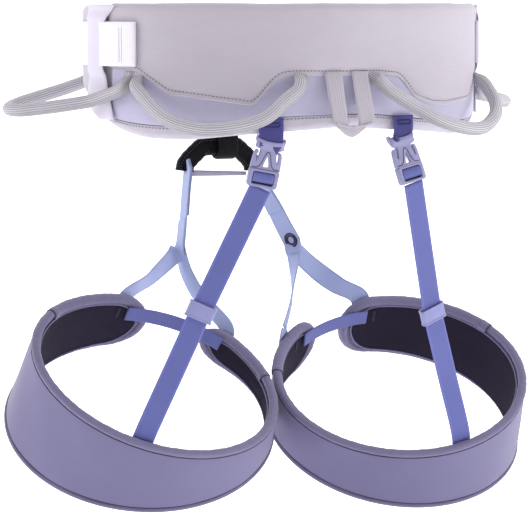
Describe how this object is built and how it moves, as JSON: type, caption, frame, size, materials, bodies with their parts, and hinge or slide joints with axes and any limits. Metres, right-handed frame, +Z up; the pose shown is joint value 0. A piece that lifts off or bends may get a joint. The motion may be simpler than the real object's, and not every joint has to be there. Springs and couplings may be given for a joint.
{
  "type": "climbing harness",
  "caption": "Padded climbing harness with a waist belt, leg loops on an elastic-linked bridge, a belay loop, moulded gear loops, a haul loop and releasable rear straps.",
  "frame": {"origin": "centre of the waist opening, at the height of the waist webbing's middle line", "axes": "+Z up, +Y to the wearer's front (the belay loop's side), +X to the wearer's right, so the rear is at -Y"},
  "size_m": [0.4515, 0.2566, 0.4077],
  "materials": {
    "pad": "fabric-bound foam",
    "mesh_lining": "open mesh",
    "outer_fabric": "woven shell",
    "lower_fabric": "woven panel",
    "waist_webbing": "ribbed webbing",
    "black_webbing": "dense webbing",
    "alloy": "satin",
    "elastic": "woven elastic",
    "buckle_plastic": "moulded, satin",
    "riser_webbing": "smooth webbing",
    "haul_webbing": "narrow webbing",
    "leg_pad": "woven cover over foam",
    "gear_loop": "braided cover over plastic tube"
  },
  "bodies": {
    "waist": {"waist_foam": "pad", "waist_lining": "mesh_lining", "waist_outer_panel": "outer_fabric", "waist_lower_panel": "lower_fabric", "tie_in_webbing": "waist_webbing", "tie_in_sleeve_upper": "black_webbing", "side_sleeve_left": "waist_webbing", "waist_webbing_left": "waist_webbing", "waist_buckle_frame_left": "alloy", "rear_tab_left": "elastic", "rear_buckle_upper_left": "buckle_plastic", "rear_strap_left": "elastic", "riser_left_stem": "riser_webbing", "riser_left_outer": "riser_webbing", "riser_left_inner": "riser_webbing", "side_sleeve_right": "waist_webbing", "waist_webbing_right": "waist_webbing", "waist_buckle_frame_right": "alloy", "rear_tab_right": "elastic", "rear_buckle_upper_right": "buckle_plastic", "rear_strap_right": "elastic", "riser_right_stem": "riser_webbing", "riser_right_outer": "riser_webbing", "riser_right_inner": "riser_webbing"},
    "belay_loop": {"belay_loop": "black_webbing", "bridge_sleeve": "black_webbing", "bridge_strap": "haul_webbing"},
    "leg_loop_left": {"leg_foam_left": "leg_pad", "leg_lining_left": "mesh_lining", "leg_elastic_left": "elastic"},
    "rear_buckle_left": {"rear_buckle_lower_left": "buckle_plastic"},
    "strap_keeper_left": {"rear_strap_keeper_left": "buckle_plastic"},
    "gear_loop_rear_left": {"gear_loop_rear_left": "gear_loop"},
    "gear_loop_front_left": {"gear_loop_front_left": "gear_loop"},
    "waist_slider_left": {"waist_buckle_slider_left": "alloy"},
    "leg_loop_right": {"leg_foam_right": "leg_pad", "leg_lining_right": "mesh_lining", "leg_elastic_right": "elastic"},
    "rear_buckle_right": {"rear_buckle_lower_right": "buckle_plastic"},
    "strap_keeper_right": {"rear_strap_keeper_right": "buckle_plastic"},
    "gear_loop_rear_right": {"gear_loop_rear_right": "gear_loop"},
    "gear_loop_front_right": {"gear_loop_front_right": "gear_loop"},
    "waist_slider_right": {"waist_buckle_slider_right": "alloy"},
    "haul_loop": {"haul_loop": "haul_webbing"}
  },
  "joints": [
    {"name": "belay_loop_swing", "type": "hinge", "parent": "waist", "child": "belay_loop", "pos_m": [0, 0.116, -0.031], "axis": [1, 0, 0], "range_deg": [-6, 14], "deforming": ["riser_left_stem", "riser_right_stem"]},
    {"name": "leg_loop_left_swing", "type": "hinge", "parent": "waist", "child": "leg_loop_left", "pos_m": [-0.036, 0.116, -0.106], "axis": [1, 0, 0], "range_deg": [-4, 12], "stiffness_Nm_per_rad": 1, "springref_deg": -3.59, "deforming": ["riser_left_outer", "riser_left_inner", "rear_strap_left"]},
    {"name": "leg_loop_right_swing", "type": "hinge", "parent": "waist", "child": "leg_loop_right", "pos_m": [0.026, 0.116, -0.106], "axis": [1, 0, 0], "range_deg": [-4, 12], "stiffness_Nm_per_rad": 1, "springref_deg": -3.82, "deforming": ["riser_right_outer", "riser_right_inner", "rear_strap_right"]},
    {"name": "rear_buckle_left_release", "type": "slide", "parent": "waist", "child": "rear_buckle_left", "axis": [-0.1532, 0.1822, -0.9712], "range_m": [0, 0.016], "deforming": ["rear_strap_left"]},
    {"name": "strap_keeper_left_slide", "type": "slide", "parent": "waist", "child": "strap_keeper_left", "axis": [-0.3959, 0.1599, -0.9043], "range_m": [-0.012, 0.012]},
    {"name": "rear_buckle_right_release", "type": "slide", "parent": "waist", "child": "rear_buckle_right", "axis": [0.2334, -0.1753, -0.9565], "range_m": [0, 0.016], "deforming": ["rear_strap_right"]},
    {"name": "strap_keeper_right_slide", "type": "slide", "parent": "waist", "child": "strap_keeper_right", "axis": [0.309, 0.2108, -0.9274], "range_m": [-0.012, 0.012]},
    {"name": "gear_loop_rear_left_lift", "type": "hinge", "parent": "waist", "child": "gear_loop_rear_left", "pos_m": [-0.03625, -0.11765, -0.028], "axis": [-0.8945, 0.4454, -0.0391], "range_deg": [0, 55]},
    {"name": "gear_loop_front_left_lift", "type": "hinge", "parent": "waist", "child": "gear_loop_front_left", "pos_m": [-0.15567, -0.0502, -0.033], "axis": [0.0257, 0.9997, 0], "range_deg": [0, 25]},
    {"name": "gear_loop_rear_right_lift", "type": "hinge", "parent": "waist", "child": "gear_loop_rear_right", "pos_m": [0.02786, -0.11879, -0.028], "axis": [-0.8985, -0.4381, 0.0288], "range_deg": [0, 55]},
    {"name": "gear_loop_front_right_lift", "type": "hinge", "parent": "waist", "child": "gear_loop_front_right", "pos_m": [0.15567, -0.0502, -0.033], "axis": [0.0257, -0.9997, 0], "range_deg": [0, 25]},
    {"name": "haul_loop_lift", "type": "hinge", "parent": "waist", "child": "haul_loop", "pos_m": [0, -0.1182, -0.025], "axis": [-1, 0, 0], "range_deg": [0, 70]},
    {"name": "waist_buckle_left_slide", "type": "slide", "parent": "waist", "child": "waist_slider_left", "axis": [0.9277, 0.3733, 0], "range_m": [-0.004, 0.004]},
    {"name": "waist_buckle_right_slide", "type": "slide", "parent": "waist", "child": "waist_slider_right", "axis": [-0.9277, 0.3733, 0], "range_m": [-0.004, 0.004]}
  ]
}
